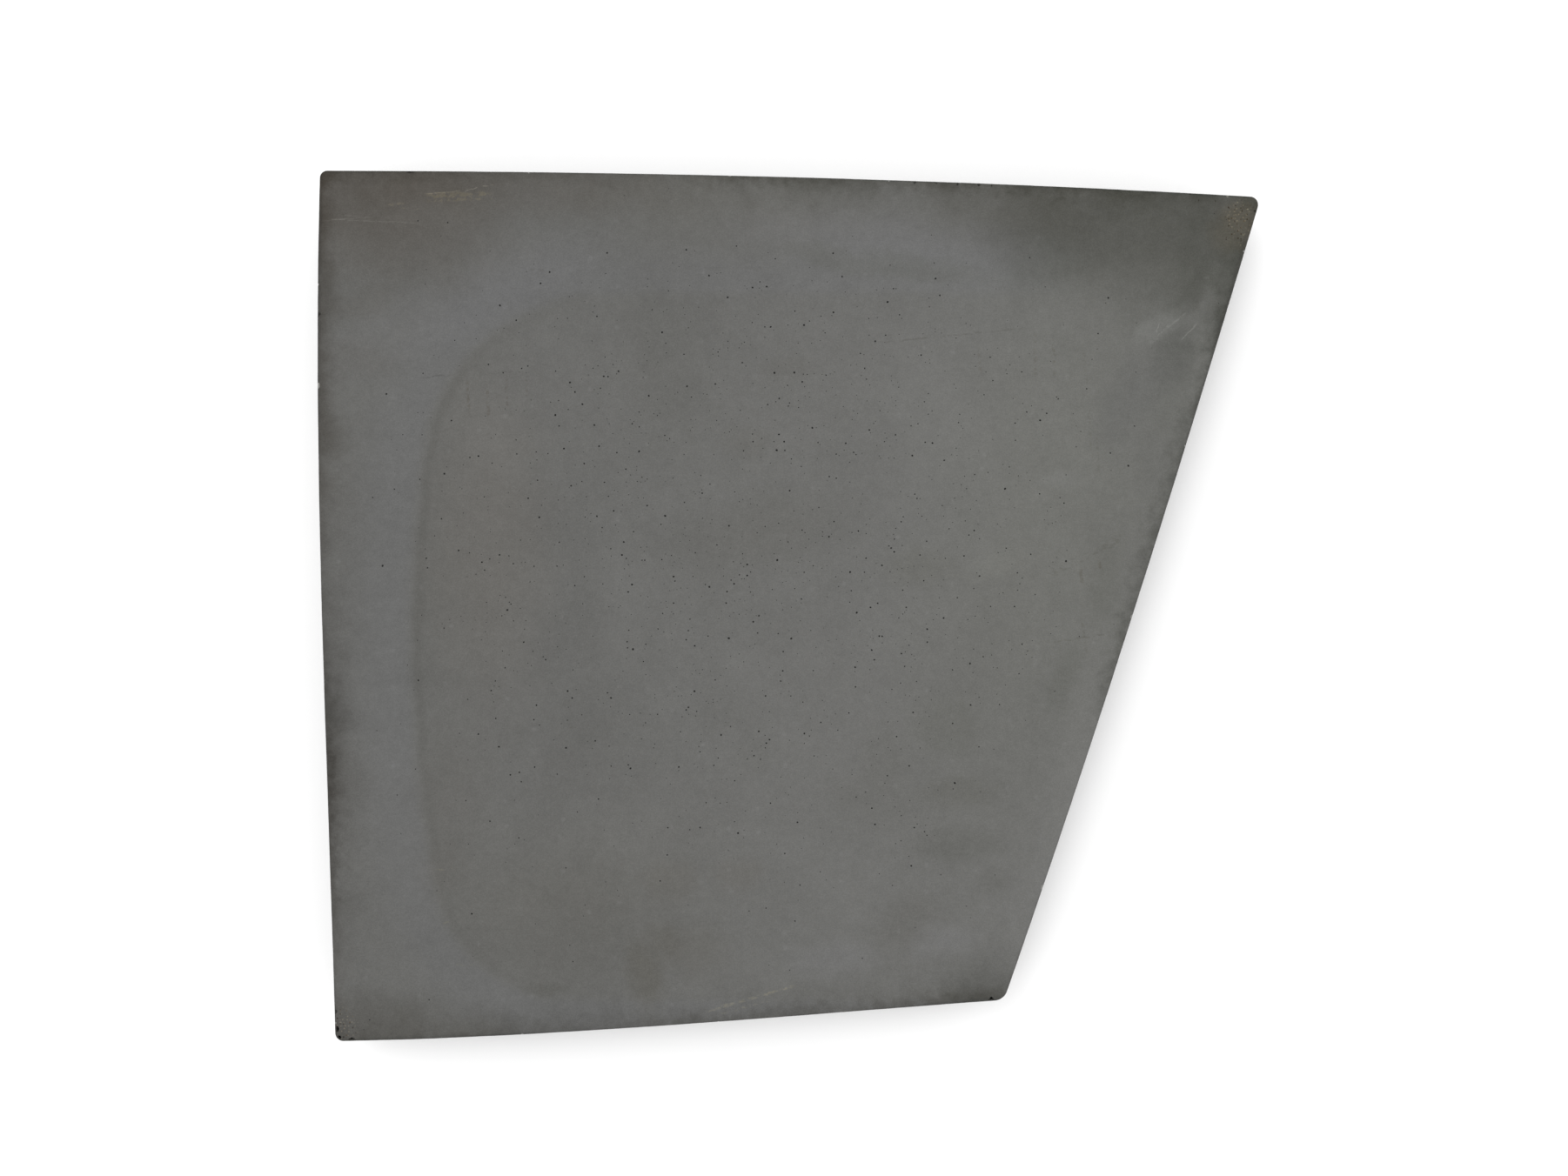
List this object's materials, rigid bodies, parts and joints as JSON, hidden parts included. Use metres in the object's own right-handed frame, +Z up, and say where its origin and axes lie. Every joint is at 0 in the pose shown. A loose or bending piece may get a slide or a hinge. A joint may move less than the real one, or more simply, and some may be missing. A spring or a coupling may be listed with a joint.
{
  "type": "stone tooling slab",
  "caption": "Thick grey stone work slab with an irregular four-sided outline, a flat honed top and soft stick-on feet underneath.",
  "frame": {"origin": "on the surface that the feet stand on, under the middle of the slab's box", "axes": "+Z up, square to the work surface; +X along the long far side of the slab, to the user's right; +Y away from the user, towards that far side"},
  "size_m": [0.3054, 0.2826, 0.0375],
  "materials": {
    "stone": "honed, matt, with open pinholes and a few darker stains",
    "foot_rubber": "matt moulded rubber",
    "adhesive_foam": "soft closed-cell foam"
  },
  "bodies": {
    "root": {"slab": "stone", "foot_far_left": "foot_rubber", "foot_far_right": "foot_rubber", "foot_near_right": "foot_rubber", "foot_near_left": "foot_rubber", "adhesive_far_left": "adhesive_foam", "adhesive_far_right": "adhesive_foam", "adhesive_near_right": "adhesive_foam", "adhesive_near_left": "adhesive_foam"}
  },
  "joints": []
}
